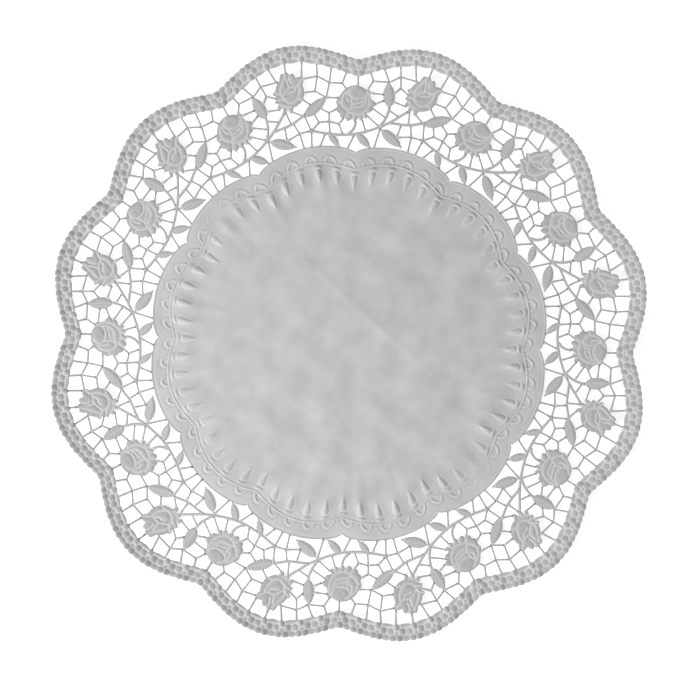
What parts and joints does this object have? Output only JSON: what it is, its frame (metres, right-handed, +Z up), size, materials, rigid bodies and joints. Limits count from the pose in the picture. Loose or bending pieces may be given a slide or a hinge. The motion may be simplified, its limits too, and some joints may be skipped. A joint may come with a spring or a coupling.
{
  "type": "paper doily",
  "caption": "Flat round doily of white die-cut paper: plain centre, scalloped hem, open lace band of roses, leaves and net, and a beaded scalloped border.",
  "frame": {"origin": "Centre of the round sheet, on its flat underside.", "axes": "+Z is up out of the embossed face, the thin direction. +Y runs through the middle of one border lobe, and +X through another."},
  "size_m": [0.36, 0.36, 0.0001],
  "materials": {
    "plain_paper": "white uncoated paper, matte, faintly wrinkled",
    "hem_paper": "white uncoated paper, matte, embossed with loops",
    "border_paper": "white uncoated paper, matte, embossed with beads",
    "motif_paper": "white uncoated paper, matte, embossed with petals and veins",
    "net_paper": "white uncoated paper, matte, pressed into rounded threads"
  },
  "bodies": {
    "root": {"centre_panel": "plain_paper", "hem_scallops": "hem_paper", "border_lobes": "border_paper", "rose_blooms": "motif_paper", "rose_buds": "motif_paper", "leaves": "motif_paper", "vine_stems": "net_paper", "net_threads": "net_paper"}
  },
  "joints": []
}
